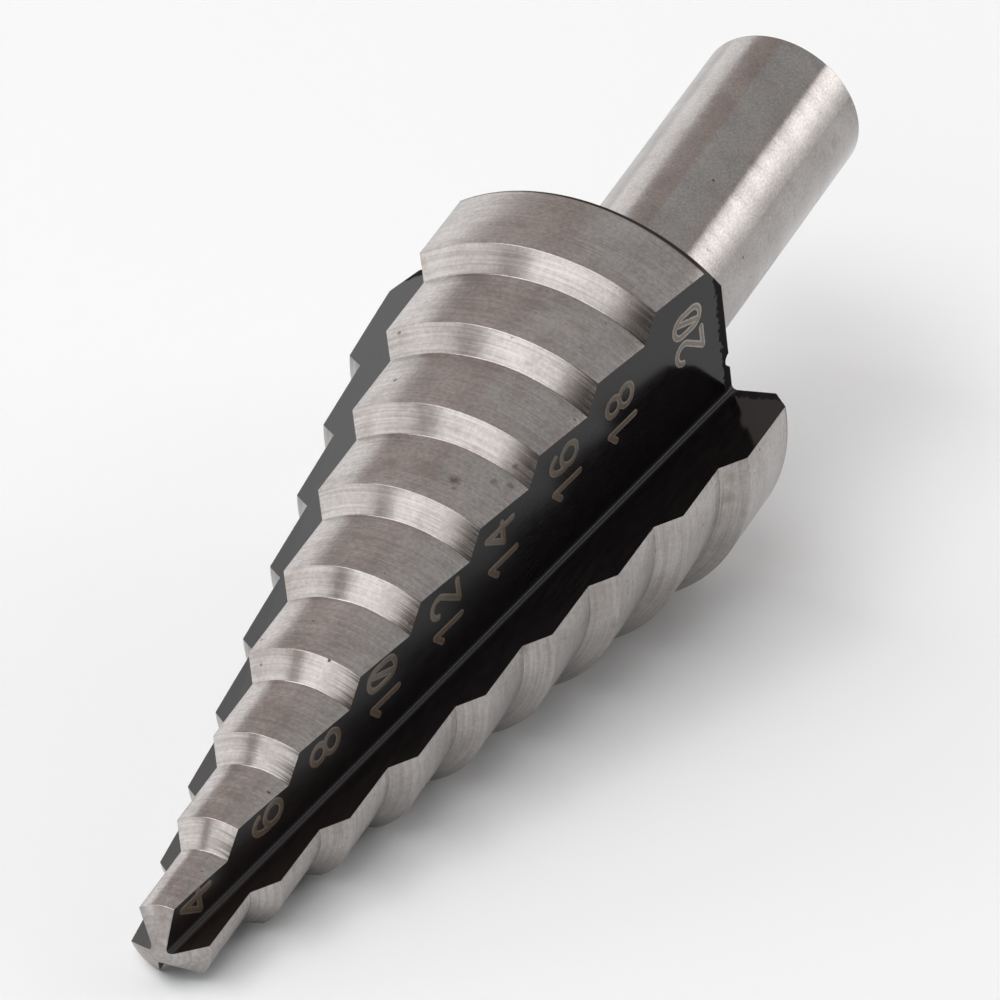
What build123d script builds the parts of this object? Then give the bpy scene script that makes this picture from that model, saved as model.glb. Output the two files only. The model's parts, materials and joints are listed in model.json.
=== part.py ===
from build123d import *
import math
import os

os.makedirs("parts", exist_ok=True)

# A three-flute step drill, turned and ground from one bar, in millimetres and degrees.
# It is modelled on its own axis, which runs from the point up to the shank, with zero at the
# front corner of the smallest step, and is then laid down as it comes to rest.

# Steps: each is a plain cylinder, and a chamfer leads up to the next
first_diameter = 4.0
diameter_step = 2.0
step_count = 9
first_land = 3.8
land = 3.65
last_land = 4.0
chamfer_angle = 45.0
back_chamfer = 0.9

# Ground point
point_angle = 120.0

# Plain round shank
shank_diameter = 8.0
shank_length = 20.5
shank_end_chamfer = 0.4

# Straight V flutes, whose root climbs away from the axis towards the shank
flute_count = 3
flute_angle = 81.0
root_offset = 0.49
root_climb = 8.5
rake_lean = 1.4
root_radius = 0.25
cutter_clearance = 1.0

# Small chip in the rear edge of one heel wall, measured along that edge from the flute's root
chip_radius = 0.4
chip_distance = 1.7
chip_rise = 0.1
chip_flute = 2

position_tolerance = 0.001


def chamfer_length():
    return diameter_step / 2 / math.tan(math.radians(chamfer_angle))


def step_radius(index):
    return (first_diameter + index * diameter_step) / 2


def step_front(index):
    if index == 0:
        return 0.0
    return first_land + chamfer_length() * index + land * (index - 1)


def step_back(index):
    if index == 0:
        return first_land
    return step_front(index) + (last_land if index == last_step else land)


last_step = step_count - 1
body_radius = step_radius(last_step)
body_length = step_back(last_step) + back_chamfer
point_height = step_radius(0) / math.tan(math.radians(point_angle / 2))
shank_end = body_length + shank_length
seam_angle = flute_angle / 4

# The outline runs from the tip over every step and along the shank, back to the axis
outline = [(0, -point_height)]
for index in range(step_count):
    outline.append((step_radius(index), step_front(index)))
    outline.append((step_radius(index), step_back(index)))
outline.append((body_radius - back_chamfer, body_length))
outline.append((shank_diameter / 2, body_length))
outline.append((shank_diameter / 2, shank_end - shank_end_chamfer))
outline.append((shank_diameter / 2 - shank_end_chamfer, shank_end))
outline.append((0, shank_end))

# The flute's root line starts beside the axis, climbs outwards and drifts with the rake wall
root_direction = Vector(
    math.tan(math.radians(root_climb)),
    math.tan(math.radians(rake_lean)),
    1,
)
root_start = Vector(root_offset, 0, 0)
cutter_start = -point_height - cutter_clearance
cutter_length = root_direction.length * (body_length + cutter_clearance - cutter_start)
cutter_reach = 2 * body_radius + root_offset
cutter_plane = Plane(
    origin=root_start + root_direction * cutter_start,
    x_dir=root_direction.cross(Vector(1, 0, 0)).cross(root_direction),
    z_dir=root_direction,
)

# Where the heel wall meets the body's rear face, from the root outwards
heel_side = cutter_plane.x_dir.rotate(Axis((0, 0, 0), root_direction), -flute_angle)
rear_edge = (heel_side - root_direction * heel_side.Z).normalized()
rear_root = root_start + root_direction * body_length
chip_centre = rear_root + rear_edge * chip_distance + Vector(0, 0, chip_rise)

with BuildPart() as flute_cutter:
    # The wheel's section: one side cuts the rake wall, the other the heel wall
    with BuildSketch(cutter_plane) as wheel_section:
        with BuildLine():
            rake_wall = Line((0, 0), (cutter_reach, 0))
            heel_wall = PolarLine((0, 0), cutter_reach, -flute_angle)
            Line(rake_wall @ 1, heel_wall @ 1)
        make_face()
        root_corner = wheel_section.vertices().sort_by_distance((0, 0, 0))[0]
        fillet(root_corner, root_radius)
    extrude(amount=cutter_length)

with BuildPart() as drill:
    # Steps, point and shank in one turning, with its seam where a flute is cut
    with BuildSketch(Plane.XZ.rotated((0, 0, -seam_angle))):
        with BuildLine():
            Polyline(*outline, close=True)
        make_face()
    revolve(axis=Axis.Z)

    # Evenly spaced flutes, open at the point and through the body's rear face
    with PolarLocations(0, flute_count):
        add(flute_cutter.part, mode=Mode.SUBTRACT)

    # The chip in the rear edge
    with Locations(chip_centre.rotate(Axis.Z, 360 / flute_count * chip_flute)):
        Sphere(chip_radius, mode=Mode.SUBTRACT)


def outermost_corners(index):
    """Corners where the flutes cut a step's front edge, with the first flute's own two last."""
    low = step_front(index) - position_tolerance
    high = step_front(index) + position_tolerance
    return drill.vertices().filter_by_position(Axis.Z, low, high).sort_by(Axis.X)


# It lies with the first flute down: on the cutting edge beside it, from the first step to the
# last, and on the heel corner of the largest step
first_contact = Vector(*outermost_corners(0)[-1])
heel_contact, edge_contact = [Vector(*corner) for corner in outermost_corners(last_step)[-2:]]
up = (heel_contact - first_contact).cross(edge_contact - first_contact).normalized()
forward = (Vector(0, 0, 1) - up * up.Z).normalized()
rest_plane = Plane(origin=first_contact, x_dir=forward, z_dir=up)
lying = rest_plane.to_local_coords(drill.part)

# The origin is under the middle of the whole length and width, on the surface it lies on
bounds = lying.bounding_box()
under_middle = Vector(bounds.center().X, bounds.center().Y, bounds.min.Z)
step_drill = lying.moved(Location(-under_middle))
shank_middle = rest_plane.to_local_coords(Vector(0, 0, (body_length + shank_end) / 2)) - under_middle
print("overall length", round(shank_end + point_height, 2))
print("axis rises", round(math.degrees(math.asin(up.Z)), 3))
print("middle of the shank", [round(value, 4) for value in shank_middle])

step_drill.label = "step_drill"
export_step(step_drill, "parts/step_drill.step")
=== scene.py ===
# %% [markdown]
# # A step drill in ground steel
# A step drill is one bar of high-speed steel. It is turned to nine steps with a chamfer before
# each, three straight flutes are ground through the steps, and a laser writes each step's
# diameter beside it. Here it lies on a white table, as it comes to rest.
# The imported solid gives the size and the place, and this script gives every surface its finish.

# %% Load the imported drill
import json
import math

import bpy
from mathutils import Euler, Matrix, Vector


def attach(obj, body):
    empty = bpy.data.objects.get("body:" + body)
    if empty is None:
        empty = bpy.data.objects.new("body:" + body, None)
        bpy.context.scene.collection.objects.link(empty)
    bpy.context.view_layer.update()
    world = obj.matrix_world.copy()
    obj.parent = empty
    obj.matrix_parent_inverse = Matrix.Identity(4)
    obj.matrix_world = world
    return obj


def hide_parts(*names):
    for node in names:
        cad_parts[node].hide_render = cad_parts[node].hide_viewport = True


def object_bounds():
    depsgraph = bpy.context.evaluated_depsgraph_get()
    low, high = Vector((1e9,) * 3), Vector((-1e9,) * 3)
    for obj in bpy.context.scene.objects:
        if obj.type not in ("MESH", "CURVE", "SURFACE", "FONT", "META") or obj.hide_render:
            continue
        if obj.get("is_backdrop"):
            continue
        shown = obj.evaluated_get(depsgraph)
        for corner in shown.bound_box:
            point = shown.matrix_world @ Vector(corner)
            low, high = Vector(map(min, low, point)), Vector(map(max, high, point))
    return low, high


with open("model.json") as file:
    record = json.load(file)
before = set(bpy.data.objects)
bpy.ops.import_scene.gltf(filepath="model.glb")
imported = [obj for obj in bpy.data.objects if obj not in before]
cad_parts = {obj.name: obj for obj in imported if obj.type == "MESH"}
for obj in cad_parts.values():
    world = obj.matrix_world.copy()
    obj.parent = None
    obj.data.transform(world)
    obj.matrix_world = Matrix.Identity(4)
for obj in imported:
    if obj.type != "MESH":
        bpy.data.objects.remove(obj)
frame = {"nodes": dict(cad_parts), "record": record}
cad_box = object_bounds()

MM = 0.001
cad_drill = frame["nodes"]["step_drill"]
print("solid", [[round(value / MM, 2) for value in corner] for corner in cad_box])

# %% [markdown]
# ## The camera
# The drill was seen from its point's end, about 30 degrees above the table, through a long lens
# from almost half a metre. A long lens keeps the steps in proportion, so the focal length and
# the place matter together. The camera is turned by three angles: towards the drill, down, and
# a little about its own line of sight.

# %% Place the camera
camera_place = Vector((-370.484, -177.245, 243.441)) * MM
camera_heading = 25.495
camera_drop = 29.816
camera_roll = 1.256
sensor_width = 36.0
focal_length = sensor_width * 10.615

camera_data = bpy.data.cameras.new("camera")
camera_data.sensor_width = sensor_width
camera_data.lens = focal_length
camera_data.clip_start = 10 * MM
camera_data.clip_end = 20000 * MM
camera = bpy.data.objects.new("camera", camera_data)
bpy.context.scene.collection.objects.link(camera)
bpy.context.scene.camera = camera
camera.location = camera_place
turned_down, turned_round = math.radians(90 - camera_drop), math.radians(camera_heading - 90)
facing = Euler((turned_down, 0, turned_round), "XYZ").to_matrix()
rolled = facing @ Matrix.Rotation(math.radians(camera_roll), 3, "Z")
camera.rotation_euler = rolled.to_euler("XYZ")
print("camera looks along", [round(value, 4) for value in rolled @ Vector((0, 0, -1))])

# %% [markdown]
# ## The drill's own axes
# A turner thinks along the axis of the bar, from the point to the shank. The record says where
# the middle of the shank is and which way it runs. The lowest corner near the point is where the
# first step touches the table, beside the first flute, so it gives the turn about the axis.

# %% Find the drill's axes
first_diameter = 4.0
diameter_step = 2.0
step_count = 9
first_land = 3.8
land = 3.65
last_land = 4.0
chamfer_length = 1.0
back_chamfer = 0.9
point_angle = 120.0
shank_diameter = 8.0
shank_length = 20.5
shank_end_chamfer = 0.4

step_pitch = land + chamfer_length
last_front = first_land + chamfer_length + step_pitch * (step_count - 2)
body_length = last_front + last_land + back_chamfer
shank_end = body_length + shank_length

shank_mount = frame["record"]["mounts"][0]
axis = Vector(shank_mount["axis"]).normalized()
origin = Vector(shank_mount["pos_m"]) - axis * (body_length + shank_end) / 2 * MM
touching = 0.01 * MM
on_table = [v.co for v in cad_drill.data.vertices if v.co.z < touching]
first_corner = min(on_table, key=lambda corner: corner.x)
across = first_corner - origin
across = (across - axis * across.dot(axis)).normalized()
drill_turn = Matrix((across, axis.cross(across), axis)).transposed()
drill_to_table = Matrix.Translation(origin) @ drill_turn.to_4x4() @ Matrix.Scale(MM, 4)
print("first step's corner is", round((first_corner - origin).length / MM, 3), "mm off the axis")
print("body", round(body_length, 2), "mm, whole axis", round(shank_end, 2), "mm")

# %% [markdown]
# ## Four small helpers
# A node tree is easier to read when each node is one line that says what it is and what goes
# into it. The first helper adds a node and links or sets its inputs. The others do sums with
# numbers, mix two numbers by a share, and do sums with directions and places. They serve the
# meshes' trees and the materials alike.

# %% Helpers for node trees
def add_node(tree, kind, inputs=None, **settings):
    node = tree.nodes.new(kind)
    for name, value in settings.items():
        setattr(node, name, value)
    for name, value in (inputs or {}).items():
        if isinstance(value, bpy.types.NodeSocket):
            tree.links.new(value, node.inputs[name])
        else:
            node.inputs[name].default_value = value
    return node

def sums(tree, operation, first, second=0.0, third=None):
    inputs = {0: first, 1: second}
    if third is not None:
        inputs[2] = third
    return add_node(tree, "ShaderNodeMath", inputs, operation=operation).outputs[0]

def mixed(tree, share, first, second):
    """The first number where the share is 0, and the second where it is 1."""
    return sums(tree, "MULTIPLY_ADD", share, sums(tree, "SUBTRACT", second, first), first)

def vector_sums(tree, operation, first, second=None, output="Vector"):
    """Sums with vectors. What gives a single number, such as a length, is its Value."""
    inputs = {0: first} if second is None else {0: first, 1: second}
    return add_node(tree, "ShaderNodeVectorMath", inputs, operation=operation).outputs[output]

print("helpers:", ", ".join(helper.__name__ for helper in (add_node, sums, mixed, vector_sums)))

# %% [markdown]
# ## The finishes' shared ruler
# Turning marks run round the axis, so every finish measures in the drill's own millimetres: along
# the axis, and outwards from it. Object coordinates and one Mapping node in its texture mode do
# that, and the pattern stays with the metal from any side. The ruler also tells which way leads
# round the axis, as the tool went, and how far a surface faces along the axis.

# %% A node group that measures in the drill's millimetres
ruler = bpy.data.node_groups.new("drill_millimetres", "ShaderNodeTree")
ruler_kinds = {"Place": "Vector", "Along": "Float", "Radius": "Float", "Facing": "Float", "Around": "Vector"}
for measured, kind in ruler_kinds.items():
    ruler.interface.new_socket(measured, in_out="OUTPUT", socket_type="NodeSocket" + kind)
ruler_places = add_node(ruler, "ShaderNodeTexCoord").outputs["Object"]
ruler_turn = drill_turn.to_euler("XYZ")
ruler_map = add_node(ruler, "ShaderNodeMapping", {
    "Vector": ruler_places, "Location": origin, "Rotation": ruler_turn, "Scale": (MM, MM, MM),
}, vector_type="TEXTURE").outputs[0]
ruler_parts = add_node(ruler, "ShaderNodeSeparateXYZ", {0: ruler_map})
ruler_flat = add_node(ruler, "ShaderNodeCombineXYZ", {
    "X": ruler_parts.outputs["X"], "Y": ruler_parts.outputs["Y"],
})
ruler_normal = add_node(ruler, "ShaderNodeNewGeometry").outputs["True Normal"]
ruler_around = vector_sums(ruler, "CROSS_PRODUCT", axis, vector_sums(ruler, "SUBTRACT", ruler_places, origin))
add_node(ruler, "NodeGroupOutput", {
    "Place": ruler_map,
    "Along": ruler_parts.outputs["Z"],
    "Radius": vector_sums(ruler, "LENGTH", ruler_flat.outputs[0], output="Value"),
    "Facing": vector_sums(ruler, "DOT_PRODUCT", ruler_normal, axis, output="Value"),
    "Around": vector_sums(ruler, "NORMALIZE", ruler_around),
})
print("ruler starts at", [round(value / MM, 2) for value in origin], "mm and gives", ", ".join(ruler_kinds))

# %% [markdown]
# ## What every finish is made with
# Each finish starts with the shader and the ruler. Its patterns are noise whose grain is longer one
# way than the other, a ramp picks part of a pattern, and a blend of two colours follows it.

# %% Helpers for the finishes
def new_finish(name):
    material = bpy.data.materials.new(name)
    material.use_nodes = True
    tree = material.node_tree
    shader = tree.nodes["Principled BSDF"]
    measure = add_node(tree, "ShaderNodeGroup", node_tree=ruler)
    return material, tree, shader, measure

def stretched_noise(tree, place, scale, detail=2.0, roughness=0.5):
    """Noise whose grain has its own size along each of the drill's axes, in grains per millimetre."""
    return add_node(tree, "ShaderNodeTexNoise", {
        "Vector": vector_sums(tree, "MULTIPLY", place, scale),
        "Scale": 1.0, "Detail": detail, "Roughness": roughness,
    }).outputs["Fac"]

def ramp(tree, value, low, high, to_low=0.0, to_high=1.0):
    return add_node(tree, "ShaderNodeMapRange", {
        "Value": value, "From Min": low, "From Max": high, "To Min": to_low, "To Max": to_high,
    }).outputs[0]

def blend_colours(tree, share, first, second):
    mix = add_node(tree, "ShaderNodeMix", {"Factor": share}, data_type="RGBA")
    colour_inputs = [socket for socket in mix.inputs if socket.type == "RGBA"]
    for socket, colour in zip(colour_inputs, (first, second)):
        if isinstance(colour, bpy.types.NodeSocket):
            tree.links.new(colour, socket)
        else:
            socket.default_value = (*colour, 1)
    return [socket for socket in mix.outputs if socket.type == "RGBA"][0]

finish_helpers = (new_finish, stretched_noise, ramp, blend_colours)
print("finish helpers:", ", ".join(helper.__name__ for helper in finish_helpers))

# %% [markdown]
# ## Where the flutes run
# The steel is marked where it ends at a flute, so the flutes' lines are worked out first. Each
# flute has a root line that starts beside the axis and climbs towards the shank, a rake wall
# through about the axis, and a heel wall 81 degrees from it. The first flute's lines are worked
# out here, and the other two are turned from them. The second helper tells a finish how far the
# steel is from a heel wall, and gives a long way for steel on the wall's other side.

# %% Work out the flutes' lines
flute_count = 3
flute_angle = 81.0
root_offset = 0.49
root_climb = 8.5
rake_lean = 1.4

root_line = Vector((math.tan(math.radians(root_climb)), math.tan(math.radians(rake_lean)), 1))
root_start = Vector((root_offset, 0, 0))
along_root = root_line.normalized()
rake_side = root_line.cross(Vector((1, 0, 0))).cross(root_line).normalized()
heel_side = Matrix.Rotation(-math.radians(flute_angle), 3, along_root) @ rake_side
wall_skin = 0.5
far_away = 100.0

def flute_turn(index):
    return Matrix.Rotation(2 * math.pi / flute_count * index, 3, "Z")

def from_heel_wall(tree, place, index):
    """How far the steel at a place is from the heel wall of one flute, in millimetres."""
    start, outwards = flute_turn(index) @ root_start, flute_turn(index) @ heel_side
    into_steel = flute_turn(index) @ heel_side.cross(along_root)
    offset = vector_sums(tree, "SUBTRACT", place, start)
    deep = vector_sums(tree, "DOT_PRODUCT", offset, into_steel, output="Value")
    out = vector_sums(tree, "DOT_PRODUCT", offset, outwards, output="Value")
    past_root = sums(tree, "LESS_THAN", out, 0.0)
    past_wall = sums(tree, "LESS_THAN", deep, -wall_skin)
    return sums(tree, "MULTIPLY_ADD", sums(tree, "MAXIMUM", past_root, past_wall), far_away, deep)

print("heel wall runs along", [round(value, 3) for value in heel_side])

# %% [markdown]
# ## Ground steel
# The lathe and the grinding wheel leave fine rings round the axis, and each kind of surface has
# rings of its own. A ring is noise that is fine along the axis and long across it. Even grain,
# clouds, stains and pits are noise that is about as long one way as the other.

# %% The steel's patterns
ground_steel, tree, shader, measure = new_finish("turned_steel")
place = measure.outputs["Place"]
along = measure.outputs["Along"]
# Grains per millimetre across the axis and along it, then the noise's detail and its roughness
steel_patterns = {
    "fine rings": (0.3, 11.0, 3.0, 0.6),
    "coarse rings": (0.18, 12.0, 2.0, 0.6),
    "broad rings": (0.12, 1.8, 2.0, 0.5),
    "grain": (5.0, 5.0, 2.0, 0.6),
    "fine grain": (8.0, 8.0, 2.0, 0.6),
    "clouds": (0.5, 0.5, 3.0, 0.5),
    "stains": (0.8, 1.3, 3.0, 0.6),
    "pits": (1.9, 2.6, 1.0, 0.5),
}
pattern = {
    name: stretched_noise(tree, place, (across_grains, across_grains, along_grains), detail, roughness)
    for name, (across_grains, along_grains, detail, roughness) in steel_patterns.items()
}
print("steel patterns:", ", ".join(pattern))

# %% [markdown]
# The ground lands mix fine rings with an even grain, which gives their mottle. The chamfers are
# coarser, and the shank has only grain. The ruler tells the three apart: a chamfer faces along the
# axis as well as outwards, and the shank lies behind the body. The point slopes too, but its rings
# would look like a target, so it is finished like a land.

# %% Mix the steel's texture
point_margin = 0.1
level, sloped = 0.3, 0.5
land_grain_share = 0.5
chamfer_grain_share = 0.35
shank_softness = 0.6

slope = sums(tree, "ABSOLUTE", measure.outputs["Facing"])
behind_point = sums(tree, "GREATER_THAN", along, point_margin)
on_chamfer = sums(tree, "MULTIPLY", behind_point, ramp(tree, slope, level, sloped))
on_shank = sums(tree, "GREATER_THAN", along, body_length)
land_texture = mixed(tree, land_grain_share, pattern["fine rings"], pattern["grain"])
chamfer_texture = mixed(tree, chamfer_grain_share, pattern["coarse rings"], pattern["grain"])
shank_texture = mixed(tree, shank_softness, 0.5, pattern["fine grain"])
body_texture = mixed(tree, on_chamfer, land_texture, chamfer_texture)
texture = mixed(tree, on_shank, body_texture, shank_texture)
print("shank's texture starts", round(body_length, 2), "mm from the first corner")

# %% [markdown]
# ## The steel's colours
# A worn drill isn't one grey. Its tone follows the texture and wide clouds. Over it lie faint
# stains and a few pits with brown rims, and some clearer brown spots that have their own places.

# %% Stain the steel
steel_dark, steel_light = (0.296, 0.273, 0.260), (0.446, 0.421, 0.407)
steel_stain = (0.25, 0.20, 0.17)
steel_rust = (0.16, 0.10, 0.075)
steel_pit = (0.05, 0.04, 0.035)
spot_brown = (0.14, 0.11, 0.088)
cloud_share = 0.3
tone_span = (0.39, 0.61)
stain_span, stain_strength = (0.58, 0.75), 0.5
rust_span, rust_strength = (0.755, 0.80), 0.7
pit_span = (0.79, 0.82)
# Each brown spot's place in the drill's millimetres, its spread and its strength
brown_spots = [
    ((-6.98, 0.49, 25.03), 0.38, 0.85),
    ((-6.99, 0.29, 24.58), 0.14, 0.8),
    ((-6.93, -0.98, 26.11), 0.25, 0.55),
    ((-6.8, -1.64, 26.46), 0.25, 0.65),
    ((-7.16, -1.39, 27.34), 0.18, 0.8),
    ((-2.04, -9.03, 36.61), 0.5, 0.42),
    ((-2.41, -5.5, 22.4), 0.45, 0.45),
]
spot_raggedness = 1.6
spot_core = 0.2

tone = mixed(tree, cloud_share, texture, pattern["clouds"])
steel_colour = blend_colours(tree, ramp(tree, tone, *tone_span), steel_dark, steel_light)
stained = ramp(tree, pattern["stains"], *stain_span, 0.0, stain_strength)
steel_colour = blend_colours(tree, stained, steel_colour, steel_stain)
rusted = ramp(tree, pattern["pits"], *rust_span, 0.0, rust_strength)
steel_colour = blend_colours(tree, rusted, steel_colour, steel_rust)
steel_colour = blend_colours(tree, ramp(tree, pattern["pits"], *pit_span), steel_colour, steel_pit)
ragged_edge = sums(tree, "MULTIPLY_ADD", pattern["fine grain"], spot_raggedness, -spot_raggedness / 2)
spotted = 0.0
for centre, spread, strength in brown_spots:
    away = vector_sums(tree, "DISTANCE", place, centre, output="Value")
    reached = sums(tree, "MULTIPLY_ADD", away, 1 / spread, ragged_edge)
    spotted = sums(tree, "MAXIMUM", spotted, ramp(tree, reached, spot_core, 1.0, strength, 0.0))
steel_colour = blend_colours(tree, spotted, steel_colour, spot_brown)
print("brown spots:", len(brown_spots))

# %% [markdown]
# Two darker bands follow the edges. Where a chamfer ends at a flute's heel wall, the tool left dark
# streaks in its rings. Along the rear rim runs a line of painted shade, where the rear chamfer turns
# away, wider towards the heel walls. The shank is a little darker all over.

# %% Draw the streaks and the rim's painted shade
streak_dark = (0.15, 0.14, 0.132)
streak_reach = 1.6
streak_span = (0.45, 0.54)
# The rim's colour is painted shade: it darkens the rear rim where the rear chamfer turns away from the light.
rim_shade = (0.05, 0.04, 0.037)
rim_width = 0.10
rim_widening = 2.8
rim_reach = 9.0
rim_core = 0.7
shank_shade = 0.10

heel_reaches = [from_heel_wall(tree, place, index) for index in range(flute_count)]
at_heel = heel_reaches[0]
for reach in heel_reaches[1:]:
    at_heel = sums(tree, "MINIMUM", at_heel, reach)
streak_room = sums(tree, "MULTIPLY", on_chamfer, ramp(tree, at_heel, 0.0, streak_reach, 1.0, 0.0))
streaks = sums(tree, "MULTIPLY", streak_room, ramp(tree, pattern["coarse rings"], *streak_span))
steel_colour = blend_colours(tree, streaks, steel_colour, streak_dark)
shaded = sums(tree, "MULTIPLY", on_shank, shank_shade)
steel_colour = blend_colours(tree, shaded, steel_colour, (0, 0, 0))
# How far the steel is from the rear rim, for the painted shade line along it.
from_rim = sums(tree, "ABSOLUTE", sums(tree, "SUBTRACT", along, last_front + last_land))
rim_shade_width = ramp(tree, at_heel, 0.0, rim_reach, rim_widening * rim_width, rim_width)
on_body = sums(tree, "GREATER_THAN", measure.outputs["Radius"], shank_diameter)
in_rim_shade = ramp(tree, sums(tree, "DIVIDE", from_rim, rim_shade_width), rim_core, 1.0, 1.0, 0.0)
steel_colour = blend_colours(tree, sums(tree, "MULTIPLY", on_body, in_rim_shade), steel_colour, rim_shade)
tree.links.new(steel_colour, shader.inputs["Base Color"])
print("the rim's line lies", round(last_front + last_land, 2), "mm from the first corner")

# %% [markdown]
# ## The steel's shine
# Light spreads across fine rings and stays sharp along them, so the shader is anisotropic, and its
# tangent follows the rings with a quarter turn. The shank is smoother than the body. The relief
# is a thousandth of a millimetre, and a little stronger on the chamfers.

# %% Set the steel's shine and relief
anisotropy = 0.75
quarter_turn = 0.25
roughness_span = (0.20, 0.27)
shank_smoothness = 0.06
relief_height = 0.001 * MM
relief, chamfer_relief = 0.8, 0.35

shader.inputs["Metallic"].default_value = 1.0
shader.inputs["Anisotropic"].default_value = anisotropy
shader.inputs["Anisotropic Rotation"].default_value = quarter_turn
tree.links.new(measure.outputs["Around"], shader.inputs["Tangent"])
ring_gloss = ramp(tree, pattern["broad rings"], 0.3, 0.7, *roughness_span)
tree.links.new(sums(tree, "MULTIPLY_ADD", on_shank, -shank_smoothness, ring_gloss), shader.inputs["Roughness"])
ring_height = sums(tree, "MULTIPLY", texture, sums(tree, "MULTIPLY_ADD", on_chamfer, chamfer_relief, relief))
ring_bump = add_node(tree, "ShaderNodeBump", {
    "Height": ring_height, "Strength": 1.0, "Distance": relief_height,
})
tree.links.new(ring_bump.outputs[0], shader.inputs["Normal"])
print("steel: anisotropy", anisotropy, "and roughness", roughness_span)

# %% [markdown]
# ## Blackened flutes
# The flutes are finely ground and blackened all over, which seals the cut steel. The black is
# smooth enough to mirror the opposite wall, which is black too, so it looks deep. Only where the
# mirror looks past the rear edge does it turn grey. It is browner towards the point, where the
# steel is thin and got hotter. Along the rear face the wheel ran out and left a rough, ragged band.

# %% The flute walls' finish
scuff_grains = (5.0, 5.0, 0.8)
torn_grains = (2.5, 2.5, 2.5)
band_start, band_end = body_length - 0.55, body_length - 0.45
band_roughness = 0.85
brown_until = 16.0
dull_from, dull_until = 22.0, 37.0
dullness = 0.22
brown_blacks = (0.011, 0.0075, 0.0065), (0.017, 0.011, 0.009)
deep_blacks = (0.005, 0.0042, 0.0042), (0.010, 0.008, 0.008)

black_oxide, tree, shader, measure = new_finish("black_oxide")
place = measure.outputs["Place"]
along = measure.outputs["Along"]
scuffs = stretched_noise(tree, place, scuff_grains, 3.0)
scuffed = ramp(tree, scuffs, 0.4, 0.75)
near_point = blend_colours(tree, scuffed, *brown_blacks)
near_shank = blend_colours(tree, scuffed, *deep_blacks)
warmed = ramp(tree, along, 0.0, brown_until)
tree.links.new(blend_colours(tree, warmed, near_point, near_shank), shader.inputs["Base Color"])
torn = sums(tree, "SUBTRACT", stretched_noise(tree, place, torn_grains, 3.0, 0.7), 0.5)
rear_band = ramp(tree, sums(tree, "ADD", along, torn), band_start, band_end)
dulled = ramp(tree, along, dull_from, dull_until, dullness, 0.0)
roughness = sums(tree, "ADD", dulled, ramp(tree, scuffs, 0.3, 0.8, 0.10, 0.15))
tree.links.new(sums(tree, "MULTIPLY_ADD", rear_band, band_roughness, roughness), shader.inputs["Roughness"])
shader.inputs["IOR"].default_value = 1.32
print("rough band from", round(band_start, 2), "to", round(body_length, 2), "mm")

# %% [markdown]
# The root's fillet lies where the wheel's worn corner ran. Two thin lines along it are painted
# highlights. Both are greyer and rougher than the walls, so each has a plain finish of its own,
# blended along the flute.

# %% The roots' finishes
thinner_until = 30.0

def root_finish(name, near_point, near_shank, roughness, ior):
    material, tree, shader, measure = new_finish(name)
    thinner = ramp(tree, measure.outputs["Along"], 0.0, thinner_until)
    tree.links.new(blend_colours(tree, thinner, near_point, near_shank), shader.inputs["Base Color"])
    shader.inputs["Roughness"].default_value = roughness
    shader.inputs["IOR"].default_value = ior
    return material

root_oxide = root_finish("root_oxide", (0.022, 0.020, 0.020), (0.009, 0.008, 0.008), 0.35, 1.35)
# The root's two thin lines are painted highlights, lighter than the fillet round them.
root_highlight_line = root_finish("root_highlight_line", (0.035, 0.032, 0.032), (0.045, 0.042, 0.044), 0.3, 1.45)
finishes = (ground_steel, black_oxide, root_oxide, root_highlight_line)
print("finishes:", ", ".join(material.name for material in finishes))

# %% [markdown]
# ## The turned blank
# A lathe follows one outline round the axis. The outline is worked out step by step: a land, then
# a chamfer up to the next. Its corners aren't knife-sharp: the tool's nose leaves a small radius
# in each valley, and a crest is slightly broken. Each point of the outline keeps its own radius.

# %% Draw the outline of the turning
valley_radius = 0.07
crest_radius = 0.06
edge_radius = 0.04

def step_radius(index):
    return (first_diameter + diameter_step * index) / 2

def step_front(index):
    return 0.0 if index == 0 else first_land + chamfer_length + step_pitch * (index - 1)

last_radius = step_radius(step_count - 1)
point_height = step_radius(0) / math.tan(math.radians(point_angle / 2))
outline = [(0, -point_height, 0)]
for index in range(step_count):
    first, last = index == 0, index == step_count - 1
    front = step_front(index)
    back = front + (first_land if first else last_land if last else land)
    outline.append((step_radius(index), front, edge_radius if first else crest_radius))
    outline.append((step_radius(index), back, edge_radius if last else valley_radius))
outline.append((last_radius - back_chamfer, body_length, edge_radius))
outline.append((shank_diameter / 2, body_length, edge_radius))
outline.append((shank_diameter / 2, shank_end - shank_end_chamfer, edge_radius))
outline.append((shank_diameter / 2 - shank_end_chamfer, shank_end, edge_radius))
outline.append((0, shank_end, 0))

def new_path(name, points, cyclic=False):
    """A straight-sided curve through points, each (x, y, z, corner radius), in millimetres."""
    data = bpy.data.curves.new(name, "CURVE")
    data.dimensions = "3D"
    spline = data.splines.new("POLY")
    spline.points.add(len(points) - 1)
    for point, (x, y, z, corner) in zip(spline.points, points):
        point.co = (x, y, z, 1)
        point.radius = corner
    spline.use_cyclic_u = cyclic
    path = bpy.data.objects.new(name, data)
    bpy.context.scene.collection.objects.link(path)
    return path

outline_path = [(radius, 0, axial, corner) for radius, axial, corner in outline]
turning_outline = new_path("turning_outline", outline_path)
print("outline has", len(outline), "points, the widest", 2 * last_radius, "mm")

# %% [markdown]
# The lathe, the wheel and the laser are Geometry Nodes trees, and they share a few helpers. Each
# tree has named inputs, rounds the corners of its path, notes which faces belong to what, and
# ends by making the result real and giving out the finishes.

# %% Helpers for the geometry trees
merge_distance = 0.0005

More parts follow.
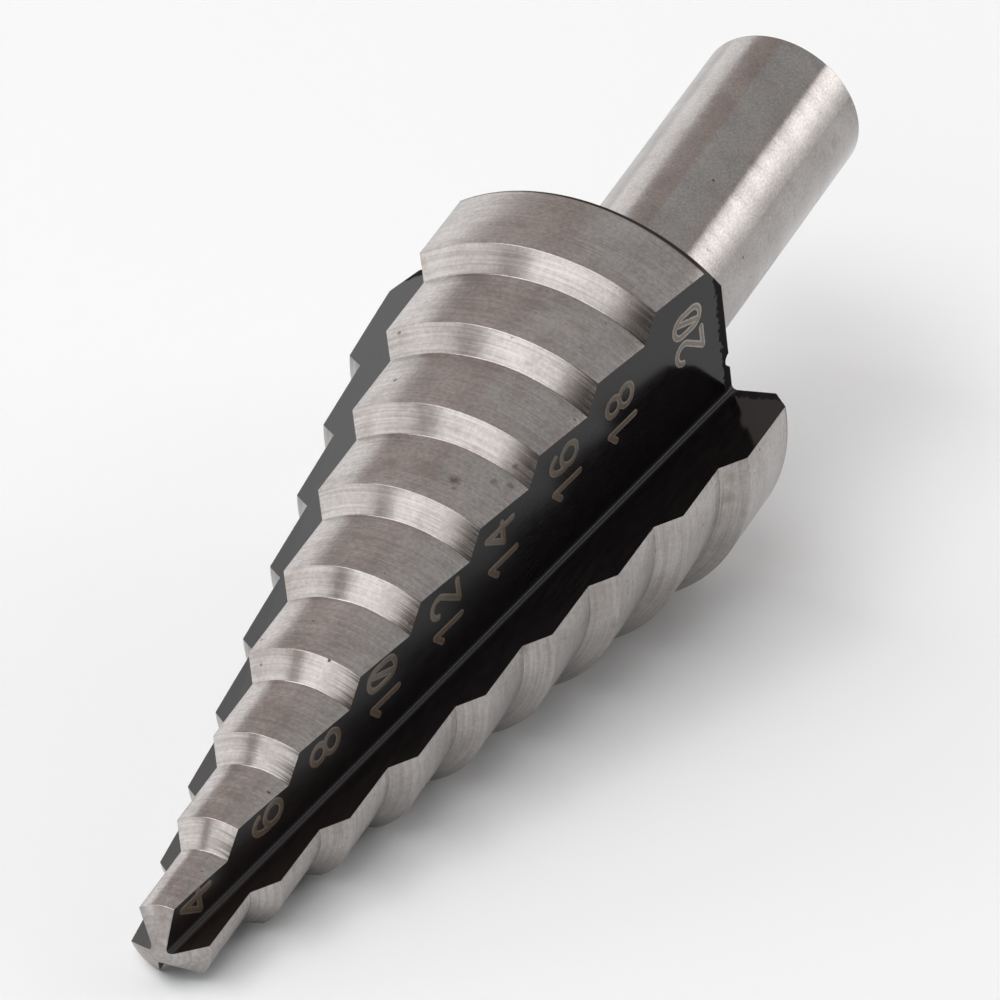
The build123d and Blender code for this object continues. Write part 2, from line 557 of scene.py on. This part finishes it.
def new_geometry_tree(name, **inputs):
    """An empty Geometry Nodes tree with its named inputs, and the node that gives them."""
    tree = bpy.data.node_groups.new(name, "GeometryNodeTree")
    tree.is_modifier = True
    tree.interface.new_socket("Geometry", in_out="OUTPUT", socket_type="NodeSocketGeometry")
    tree.interface.new_socket("Geometry", in_out="INPUT", socket_type="NodeSocketGeometry")
    for input_name, kind in inputs.items():
        tree.interface.new_socket(input_name, in_out="INPUT", socket_type="NodeSocket" + kind)
    return tree, tree.nodes.new("NodeGroupInput").outputs

def eased(tree, path, corner_points):
    """A path with each corner rounded by the radius that its point carries."""
    return add_node(tree, "GeometryNodeFilletCurve", {
        "Curve": path,
        "Count": corner_points,
        "Radius": add_node(tree, "GeometryNodeInputRadius").outputs[0],
        "Limit Radius": True,
    }, mode="POLY").outputs[0]

def mark_faces(tree, geometry, name, selection=True):
    """Notes on each face whether it belongs to what the name says."""
    return add_node(tree, "GeometryNodeStoreNamedAttribute", {
        "Geometry": geometry, "Name": name, "Value": selection,
    }, data_type="BOOLEAN", domain="FACE").outputs[0]

def end_tree(tree, geometry, finish, **other_finishes):
    """Makes the result real and gives it its finish, and another one to the faces noted by name."""
    real = add_node(tree, "GeometryNodeRealizeInstances", {0: geometry}).outputs[0]
    finished = add_node(tree, "GeometryNodeSetMaterial", {"Geometry": real, "Material": finish}).outputs[0]
    for name, other in other_finishes.items():
        noted = add_node(tree, "GeometryNodeInputNamedAttribute", {"Name": name}, data_type="BOOLEAN")
        finished = add_node(tree, "GeometryNodeSetMaterial", {
            "Geometry": finished, "Selection": noted.outputs["Attribute"], "Material": other,
        }).outputs[0]
    add_node(tree, "NodeGroupOutput", {0: finished})

def integer_sums(tree, operation, first, second):
    return add_node(tree, "FunctionNodeIntegerMath", {0: first, 1: second}, operation=operation).outputs[0]

def merged(tree, geometry):
    """The geometry with the corners that meet joined into one."""
    return add_node(tree, "GeometryNodeMergeByDistance", {
        "Geometry": geometry, "Distance": merge_distance,
    }).outputs[0]

tree_helpers = (new_geometry_tree, eased, mark_faces, end_tree, integer_sums, merged)
print("tree helpers:", ", ".join(helper.__name__ for helper in tree_helpers))

# %% [markdown]
# The lathe's tree rounds the outline's corners by the radius that each point keeps. A grid with as
# many rows as the outline has points is then wrapped once round the axis.

# %% Build the lathe tree
lathe, given = new_geometry_tree("lathe", Segments="Int", Corner_Points="Int", Steel="Material")
outline_points = add_node(lathe, "GeometryNodeCurveToMesh", {
    "Curve": eased(lathe, given["Geometry"], given["Corner_Points"]),
}).outputs[0]
rows = add_node(lathe, "GeometryNodeAttributeDomainSize", {
    "Geometry": outline_points,
}).outputs["Point Count"]
sheet = add_node(lathe, "GeometryNodeMeshGrid", {
    "Vertices X": integer_sums(lathe, "ADD", given["Segments"], 1), "Vertices Y": rows,
}).outputs["Mesh"]
vertex = add_node(lathe, "GeometryNodeInputIndex").outputs[0]
column = integer_sums(lathe, "DIVIDE_FLOOR", vertex, rows)
row = integer_sums(lathe, "MODULO", vertex, rows)
on_outline = add_node(lathe, "GeometryNodeSampleIndex", {
    "Geometry": outline_points,
    "Value": add_node(lathe, "GeometryNodeInputPosition").outputs[0],
    "Index": row,
}, data_type="FLOAT_VECTOR").outputs["Value"]
turned = add_node(lathe, "ShaderNodeVectorRotate", {
    "Vector": on_outline,
    "Axis": (0, 0, 1),
    "Angle": sums(lathe, "MULTIPLY", sums(lathe, "DIVIDE", column, given["Segments"]), 2 * math.pi),
}, rotation_type="AXIS_ANGLE").outputs[0]
wrapped = add_node(lathe, "GeometryNodeSetPosition", {"Geometry": sheet, "Position": turned}).outputs[0]
end_tree(lathe, merged(lathe, wrapped), given["Steel"])
print("lathe tree has", len(lathe.nodes), "nodes")

# %% [markdown]
# A tree works on a piece through a modifier. Once its inputs are set, the result is read off as
# a plain mesh, which keeps only the finishes that its faces wear.

# %% Helpers that run a tree
def give_tree(piece, tree, **values):
    """Adds the tree to the piece as a modifier and sets each input by its socket's identifier."""
    modifier = piece.modifiers.new(tree.name, "NODES")
    modifier.node_group = tree
    for item in tree.interface.items_tree:
        if item.in_out == "INPUT" and item.name in values:
            modifier[item.identifier] = values[item.name]
    return modifier

def plain_mesh(piece, name):
    """The piece as its modifiers leave it, as a mesh of its own, without empty material slots."""
    bpy.context.view_layer.update()
    evaluated = piece.evaluated_get(bpy.context.evaluated_depsgraph_get())
    mesh = bpy.data.meshes.new_from_object(evaluated)
    mesh.name = name
    finishes = list(mesh.materials)
    worn_by = [finishes[polygon.material_index] for polygon in mesh.polygons]
    kept = [finish for finish in dict.fromkeys(finishes) if finish is not None]
    mesh.materials.clear()
    for finish in kept:
        mesh.materials.append(finish)
    for polygon, finish in zip(mesh.polygons, worn_by):
        polygon.material_index = kept.index(finish)
    return mesh

print("running helpers:", give_tree.__name__, "and", plain_mesh.__name__)

# %% Turn the blank
turning_segments = 288
corner_points = 4
give_tree(
    turning_outline, lathe, Segments=turning_segments, Corner_Points=corner_points, Steel=ground_steel,
)
blank_mesh = plain_mesh(turning_outline, "turned_blank")
blank = bpy.data.objects.new("turned_blank", blank_mesh)
bpy.context.scene.collection.objects.link(blank)
bpy.data.objects.remove(turning_outline)
print("turned blank has", len(blank_mesh.polygons), "faces")

# %% [markdown]
# ## The flutes
# A grinding wheel with a V edge runs through the blank three times, a third of a turn apart. Its
# rake side cuts through the axis and its heel side stands 81 degrees from it. The root starts
# beside the axis at the point and climbs towards the shank, so the flutes are deepest where the
# drill is thickest. The swept wheel is a wedge, and a Boolean takes three of it away, with the
# small chip in one rear edge.

# %% Draw the wheel's section
root_radius = 0.25
root_points = 8
# Where the root's painted highlight lines lie, in millimetres from the root line
highlight_line_near, highlight_line_far = 0.155, 0.19
cutter_clearance = 1.0

cutter_start = -point_height - cutter_clearance
cutter_length = root_line.length * (body_length + cutter_clearance - cutter_start)
cutter_reach = 2 * last_radius + root_offset
wheel_place = root_start + root_line * cutter_start
wheel_turn = Matrix((rake_side, along_root.cross(rake_side), along_root)).transposed()

heel_x = cutter_reach * math.cos(math.radians(flute_angle))
heel_y = -cutter_reach * math.sin(math.radians(flute_angle))
wheel_section = new_path("wheel_section", [
    (0, 0, 0, root_radius), (cutter_reach, 0, 0, 0), (heel_x, heel_y, 0, 0),
], cyclic=True)
print("the wheel's section reaches", round(cutter_reach, 2), "mm from the root line")

# %% [markdown]
# The wheel's tree fills the section and extrudes it along the root line. It also notes which faces
# are the root's fillet and which carry its painted highlight lines, by how far they are from the root line.

# %% Sweep the wheel
sweep, given = new_geometry_tree(
    "wheel_sweep", Length="Float", Corner_Points="Int", Root_Reach="Float",
    Scratch_Near="Float", Scratch_Far="Float", Wheel="Material",
)
section = add_node(sweep, "GeometryNodeFillCurve", {
    "Curve": eased(sweep, given["Geometry"], given["Corner_Points"]),
}, mode="NGONS").outputs[0]
swept = add_node(sweep, "GeometryNodeExtrudeMesh", {
    "Mesh": section, "Offset": (0, 0, 1), "Offset Scale": given["Length"], "Individual": False,
}).outputs["Mesh"]
near_end = add_node(sweep, "GeometryNodeFlipFaces", {"Mesh": section}).outputs[0]
both = add_node(sweep, "GeometryNodeJoinGeometry")
sweep.links.new(swept, both.inputs[0])
sweep.links.new(near_end, both.inputs[0])
wheel_position = add_node(sweep, "GeometryNodeInputPosition").outputs[0]
root_distance = vector_sums(
    sweep, "LENGTH", vector_sums(sweep, "MULTIPLY", wheel_position, (1, 1, 0)), output="Value",
)
near_root = sums(sweep, "LESS_THAN", root_distance, given["Root_Reach"])
past_middle = sums(sweep, "GREATER_THAN", root_distance, given["Scratch_Near"])
before_wall = sums(sweep, "LESS_THAN", root_distance, given["Scratch_Far"])
rooted = mark_faces(sweep, merged(sweep, both.outputs[0]), "root", near_root)
highlight_lined = mark_faces(sweep, rooted, "scratch", sums(sweep, "MULTIPLY", past_middle, before_wall))
end_tree(sweep, highlight_lined, given["Wheel"])
root_reach = root_radius / math.tan(math.radians(flute_angle / 2))
give_tree(
    wheel_section, sweep, Length=cutter_length, Corner_Points=root_points, Root_Reach=root_reach,
    Scratch_Near=highlight_line_near, Scratch_Far=highlight_line_far, Wheel=black_oxide,
)
wedge_mesh = plain_mesh(wheel_section, "swept_wheel")
wedge_mesh.transform(Matrix.Translation(wheel_place) @ wheel_turn.to_4x4())
swept_wheel = bpy.data.objects.new("swept_wheel", wedge_mesh)
bpy.context.scene.collection.objects.link(swept_wheel)
bpy.data.objects.remove(wheel_section)
print("the wheel sweeps", round(cutter_length, 1), "mm, with", len(wedge_mesh.polygons), "faces")

# %% [markdown]
# Three copies of the wedge stand round the axis, and a small ball bites out the chip. Their faces
# are noted before the Boolean, so the black stays inside the flutes. Edges that turn more than
# 25 degrees stay crisp, and the rest is shaded smooth.

# %% Grind the flutes and knock out the chip
chip_radius = 0.4
chip_distance = 1.7
chip_rise = 0.1
chip_flute = 2
smooth_limit = 25.0

rear_edge = (heel_side - root_line * heel_side.z).normalized()
rear_root = root_start + root_line * body_length
chip_turn = flute_turn(chip_flute)
chip_centre = chip_turn @ (rear_root + rear_edge * chip_distance + Vector((0, 0, chip_rise)))

grinding, given = new_geometry_tree(
    "flute_grinding", Wheel="Object", Flutes="Int", Chip_Centre="Vector", Chip_Radius="Float",
    Steel="Material", Black="Material", Root="Material", Scratch="Material",
)
wheel = add_node(grinding, "GeometryNodeObjectInfo", {"Object": given["Wheel"]}).outputs["Geometry"]
turns = add_node(grinding, "GeometryNodeMeshLine", {
    "Count": given["Flutes"], "Offset": (0, 0, 0),
}).outputs[0]
flute = add_node(grinding, "GeometryNodeInputIndex").outputs[0]
turned_by = sums(grinding, "MULTIPLY", sums(grinding, "DIVIDE", flute, given["Flutes"]), 2 * math.pi)
turn = add_node(grinding, "ShaderNodeCombineXYZ", {"Z": turned_by})
wheels = add_node(grinding, "GeometryNodeInstanceOnPoints", {
    "Points": turns, "Instance": mark_faces(grinding, wheel, "ground"), "Rotation": turn.outputs[0],
}).outputs[0]
bite = add_node(grinding, "GeometryNodeMeshIcoSphere", {
    "Radius": given["Chip_Radius"], "Subdivisions": 3,
}).outputs["Mesh"]
bite_placed = add_node(grinding, "GeometryNodeTransform", {
    "Geometry": mark_faces(grinding, bite, "ground"), "Translation": given["Chip_Centre"],
}).outputs[0]
cut = add_node(grinding, "GeometryNodeMeshBoolean", {
    "Mesh 1": given["Geometry"],
}, operation="DIFFERENCE", solver="MANIFOLD")
grinding.links.new(wheels, cut.inputs["Mesh 2"])
grinding.links.new(bite_placed, cut.inputs["Mesh 2"])
smooth = add_node(grinding, "GeometryNodeSetShadeSmooth", {
    "Geometry": cut.outputs["Mesh"], "Shade Smooth": True,
}).outputs[0]
edge_turn = add_node(grinding, "GeometryNodeInputMeshEdgeAngle").outputs["Unsigned Angle"]
sharp = sums(grinding, "GREATER_THAN", edge_turn, math.radians(smooth_limit))
crisp = add_node(grinding, "GeometryNodeSetShadeSmooth", {
    "Geometry": smooth, "Selection": sharp, "Shade Smooth": False,
}, domain="EDGE").outputs[0]
end_tree(
    grinding, crisp, given["Steel"],
    ground=given["Black"], root=given["Root"], scratch=given["Scratch"],
)
give_tree(
    blank, grinding,
    Wheel=swept_wheel, Flutes=flute_count, Chip_Centre=chip_centre, Chip_Radius=chip_radius,
    Steel=ground_steel, Black=black_oxide, Root=root_oxide, Scratch=root_highlight_line,
)
drill_mesh = plain_mesh(blank, "finished_drill")
drill_mesh.transform(drill_to_table)
drill = bpy.data.objects.new("finished_drill", drill_mesh)
bpy.context.scene.collection.objects.link(drill)
bpy.data.objects.remove(blank)
bpy.data.objects.remove(swept_wheel)
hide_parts("step_drill")
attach(drill, "root")
print("finished drill has", len(drill_mesh.polygons), "faces in", len(drill_mesh.materials), "finishes")

# %% [markdown]
# ## The size numbers
# A laser writes each step's diameter on the heel wall of one flute, so that the user sees how far
# the drill has gone. The digits read from the root outwards, with their tops towards the point.
# Each is drawn as the path that the beam follows, in strokes with round ends, and the zero has a
# slash. The mark is paler along its borders, a painted highlight where a raised rim would catch the
# light, and greyer inside. Near the point it is browner.

# %% The marks' finishes
burn_grains = (7.0, 7.0, 7.0)
brown_marks_until, grey_marks_from = 33.0, 41.0
worn_shade = 0.6

def mark_finish(name, near_point, near_shank):
    material, tree, shader, measure = new_finish(name)
    burned = stretched_noise(tree, measure.outputs["Place"], burn_grains, 2.0)
    greyer = ramp(tree, measure.outputs["Along"], brown_marks_until, grey_marks_from)
    mark_tone = blend_colours(tree, greyer, near_point, near_shank)
    worn = tuple(worn_shade * value for value in near_point)
    mark_colour = blend_colours(tree, ramp(tree, burned, 0.5, 0.8, 0.0, 0.6), mark_tone, worn)
    tree.links.new(mark_colour, shader.inputs["Base Color"])
    shader.inputs["Roughness"].default_value = 0.2
    shader.inputs["IOR"].default_value = 1.35
    return material

# The border's paler colour is a painted highlight along the rim of each stroke.
mark_highlight_border = mark_finish("mark_highlight_border", (0.12, 0.093, 0.07), (0.39, 0.345, 0.31))
mark_core = mark_finish("mark_core", (0.095, 0.073, 0.055), (0.21, 0.18, 0.155))
print("marks:", mark_highlight_border.name, "and", mark_core.name)

# %% Draw the digits' strokes
def arc(x, y, across, up, start, end, pieces=14):
    """Points along part of an oval round (x, y), between two angles in degrees."""
    turns = [math.radians(start + (end - start) * step / pieces) for step in range(pieces + 1)]
    return [(x + across * math.cos(turn), y + up * math.sin(turn)) for turn in turns]

# Strokes in a box 1 mm wide and 2 mm high, measured along the middle of the beam
oval = arc(0.5, 1.38, 0.5, 0.62, 0, 180) + arc(0.5, 0.62, 0.5, 0.62, 180, 360)
digit_strokes = {
    "0": [(True, oval), (False, [(0.24, 0.3), (0.76, 1.7)])],
    "1": [(False, [(0.05, 1.55), (0.55, 2.0)]), (False, [(0.55, 2.0), (0.55, 0.0)])],
    "2": [
        (False, arc(0.48, 1.46, 0.48, 0.54, 165, -28) + [(0.0, 0.0)]),
        (False, [(0.0, 0.0), (1.0, 0.0)]),
    ],
    "4": [
        (False, [(0.8, 2.0), (0.0, 0.8)]), (False, [(0.0, 0.8), (1.02, 0.8)]),
        (False, [(0.8, 2.0), (0.8, 0.0)]),
    ],
    "6": [(False, arc(0.5, 1.1, 0.5, 0.9, 35, 190)), (True, arc(0.5, 0.6, 0.5, 0.6, 0, 345, 22))],
    "8": [(True, arc(0.5, 1.5, 0.43, 0.5, 0, 345, 22)), (True, arc(0.5, 0.51, 0.5, 0.51, 0, 345, 22))],
}
digit_pitch = 1.42
# Each number with its left edge from the root and its foot from the point, in millimetres
number_places = {
    "4": (0.6, 2.5), "6": (1.28, 7.87), "8": (1.93, 12.28), "10": (1.35, 16.72), "12": (1.85, 21.63),
    "14": (2.45, 25.98), "16": (3.11, 31.07), "18": (3.25, 35.47), "20": (3.86, 40.93),
}

stroke_data = bpy.data.curves.new("number_strokes", "CURVE")
stroke_data.dimensions = "3D"
for number, (left, foot) in number_places.items():
    for place_in_number, digit in enumerate(number):
        for closed_stroke, points in digit_strokes[digit]:
            spline = stroke_data.splines.new("POLY")
            spline.points.add(len(points) - 1)
            for point, (x, y) in zip(spline.points, points):
                point.co = (left + digit_pitch * place_in_number + x, y - foot, 0, 1)
            spline.use_cyclic_u = closed_stroke
numbers = bpy.data.objects.new("size_numbers", stroke_data)
bpy.context.scene.collection.objects.link(numbers)
print("numbers:", ", ".join(number_places), "in", len(stroke_data.splines), "strokes")

# %% Turn the strokes into laser marks
stroke_width = 0.35
mark_flatness = 0.05
beam_sides = 12
core_facing = 0.8

marking, given = new_geometry_tree(
    "laser_marks", Width="Float", Flatness="Float", Border="Material", Core="Material"
)
beam = sums(marking, "DIVIDE", given["Width"], 2.0)
beam_ring = add_node(marking, "GeometryNodeCurvePrimitiveCircle", {
    "Resolution": beam_sides, "Radius": beam,
}).outputs["Curve"]
tubes = add_node(marking, "GeometryNodeCurveToMesh", {
    "Curve": given["Geometry"], "Profile Curve": beam_ring, "Fill Caps": True,
}).outputs["Mesh"]
stroke = add_node(marking, "GeometryNodeInputMeshIsland").outputs["Island Index"]
apart = add_node(marking, "GeometryNodeSplitToInstances", {
    "Geometry": tubes, "Group ID": stroke,
}).outputs["Instances"]
closed_path = add_node(marking, "GeometryNodeInputSplineCyclic").outputs[0]
at_end = add_node(marking, "GeometryNodeCurveEndpointSelection").outputs[0]
open_end = add_node(marking, "FunctionNodeBooleanMath", {
    0: at_end, 1: closed_path,
}, operation="NIMPLY").outputs[0]
end_ball = add_node(marking, "GeometryNodeMeshUVSphere", {
    "Segments": beam_sides, "Rings": 8, "Radius": beam,
}).outputs["Mesh"]
ends = add_node(marking, "GeometryNodeInstanceOnPoints", {
    "Points": given["Geometry"], "Selection": open_end, "Instance": end_ball,
}).outputs[0]
joined = add_node(marking, "GeometryNodeMeshBoolean", {}, operation="UNION", solver="MANIFOLD")
marking.links.new(apart, joined.inputs["Mesh 2"])
marking.links.new(ends, joined.inputs["Mesh 2"])
upright = add_node(marking, "ShaderNodeSeparateXYZ", {
    0: add_node(marking, "GeometryNodeInputNormal").outputs[0],
}).outputs["Z"]
# Faces that tilt away from the top form the border, which carries the painted highlight.
in_core = sums(marking, "GREATER_THAN", upright, core_facing)
noted = mark_faces(marking, joined.outputs["Mesh"], "core", in_core)
press = add_node(marking, "ShaderNodeCombineXYZ", {
    "X": 1.0, "Y": 1.0, "Z": given["Flatness"],
}).outputs[0]
pressed = add_node(marking, "GeometryNodeTransform", {"Geometry": noted, "Scale": press}).outputs[0]
end_tree(marking, pressed, given["Border"], core=given["Core"])

give_tree(
    numbers, marking,
    Width=stroke_width, Flatness=mark_flatness, Border=mark_highlight_border, Core=mark_core,
)
marks_mesh = plain_mesh(numbers, "size_numbers")
reading = Matrix((heel_side, -along_root, along_root.cross(heel_side))).transposed()
on_wall = chip_turn.to_4x4() @ Matrix.Translation(root_start) @ reading.to_4x4()
marks_mesh.transform(drill_to_table @ on_wall)
marks = bpy.data.objects.new("size_marks", marks_mesh)
bpy.context.scene.collection.objects.link(marks)
bpy.data.objects.remove(numbers)
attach(marks, "root")
print("marks have", len(marks_mesh.polygons), "faces in", len(marks_mesh.materials), "finishes")

# %% [markdown]
# ## The table
# The table is a plain white sheet, wide enough for the drill's soft shadow from any side. Its
# white is its own colour, under light at a plain level.

# %% Lay the table
table_size = 6.0
table_white = (0.925, 0.945, 0.955)
table_finish = bpy.data.materials.new("table_paper")
table_finish.use_nodes = True
table_shader = table_finish.node_tree.nodes["Principled BSDF"]
table_shader.inputs["Base Color"].default_value = (*table_white, 1)
table_shader.inputs["Roughness"].default_value = 1.0
table_shader.inputs["Specular IOR Level"].default_value = 0.0
half = table_size / 2
table_mesh = bpy.data.meshes.new("table")
table_corners = [(-half, -half, 0), (half, -half, 0), (half, half, 0), (-half, half, 0)]
table_mesh.from_pydata(table_corners, [], [(0, 1, 2, 3)])
table_mesh.materials.append(table_finish)
table = bpy.data.objects.new("table", table_mesh)
bpy.context.scene.collection.objects.link(table)
table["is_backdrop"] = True
print("table is", table_size, "m wide")

# %% [markdown]
# ## Studio light
# Steel shows what is around it more than its own colour. A dim warm room gives the middle tones,
# and soft white panels give the bright strips: three low ones from behind on the left to the
# front, and a narrow one on the right, brightest at its top, which draws the shank's highlight,
# with a faint one above it. A big one overhead on the left lights the table. Black cards in front and
# above on the right keep the light one-sided, so the drill's own shadow shows in its right side.
# Each panel is a patch of a large sphere round the drill, told by its bearing and its height, so
# it is easy to see which strip of the steel it lights. The camera doesn't see the panels.

# %% Hang the light panels
room_light = (0.56, 0.50, 0.48)
world = bpy.data.worlds.new("room")
world.use_nodes = True
world.node_tree.nodes["Background"].inputs["Color"].default_value = (*room_light, 1)
bpy.context.scene.world = world
panel_distance = 1.5
full_from = 0.75

def part_way(span, share):
    """The angle at a share of the way between two angles in degrees."""
    return math.radians(span[0] + (span[1] - span[0]) * share)

def hang_panel(name, bearing, height, strength, foot_strength=None, cells=12):
    """A glowing patch of a sphere round the drill, between two bearings and two heights in degrees.
    With a foot strength, it dims to that towards its lower edge."""
    corners = []
    for up in range(cells + 1):
        rise = part_way(height, up / cells)
        for over in range(cells + 1):
            turn = part_way(bearing, over / cells)
            flat = math.cos(rise)
            corners.append((flat * math.cos(turn), flat * math.sin(turn), math.sin(rise)))
    row = cells + 1
    faces = [
        (up * row + over, (up + 1) * row + over, (up + 1) * row + over + 1, up * row + over + 1)
        for up in range(cells) for over in range(cells)
    ]
    mesh = bpy.data.meshes.new(name)
    mesh.from_pydata([Vector(corner) * panel_distance for corner in corners], [], faces)
    glow = bpy.data.materials.new(name)
    glow.use_nodes = True
    glow.node_tree.nodes.clear()
    lamp = add_node(glow.node_tree, "ShaderNodeEmission", {"Strength": strength})
    if foot_strength is not None:
        panel_place = add_node(glow.node_tree, "ShaderNodeTexCoord").outputs["Object"]
        dimming = add_node(glow.node_tree, "ShaderNodeMapRange", {
            "Value": add_node(glow.node_tree, "ShaderNodeSeparateXYZ", {0: panel_place}).outputs["Z"],
            "From Min": panel_distance * math.sin(part_way(height, 0)),
            "From Max": panel_distance * math.sin(part_way(height, full_from)),
            "To Min": foot_strength,
            "To Max": strength,
        }, interpolation_type="SMOOTHSTEP")
        glow.node_tree.links.new(dimming.outputs[0], lamp.inputs["Strength"])
    add_node(glow.node_tree, "ShaderNodeOutputMaterial", {"Surface": lamp.outputs[0]})
    mesh.materials.append(glow)
    panel = bpy.data.objects.new(name, mesh)
    bpy.context.scene.collection.objects.link(panel)
    panel.visible_camera = False
    panel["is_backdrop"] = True
    return panel

hang_panel("panel_behind_left", (25, 75), (0, 25), 1.4)
hang_panel("panel_left", (85, 139), (0, 34), 1.56)
hang_panel("panel_front_left", (150, 202), (20, 48), 1.5)
hang_panel("panel_right", (303, 327), (0, 35), 3.2, foot_strength=1.15)
hang_panel("panel_right_faint", (300, 380), (35, 68), 0.62)
hang_panel("panel_overhead", (85, 215), (48, 70), 3.6, cells=24)
hang_panel("dark_card_low", (209, 290), (0, 38), 0.12, cells=24)
hang_panel("dark_card_high", (217, 290), (38, 70), 0.12, cells=24)
print("room", room_light, "and panels at", panel_distance, "m")

# %% [markdown]
# ## Finish
# The two boxes are kept side by side, so the finished drill can be held against its solid.

# %% Print the two boxes and finish
bpy.context.scene.view_settings.view_transform = "Standard"
boxes = {"cad": [list(corner) for corner in cad_box], "visual": [list(corner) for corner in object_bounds()]}
for name, box in boxes.items():
    print(name, "box in mm", [[round(value / MM, 2) for value in corner] for corner in box])
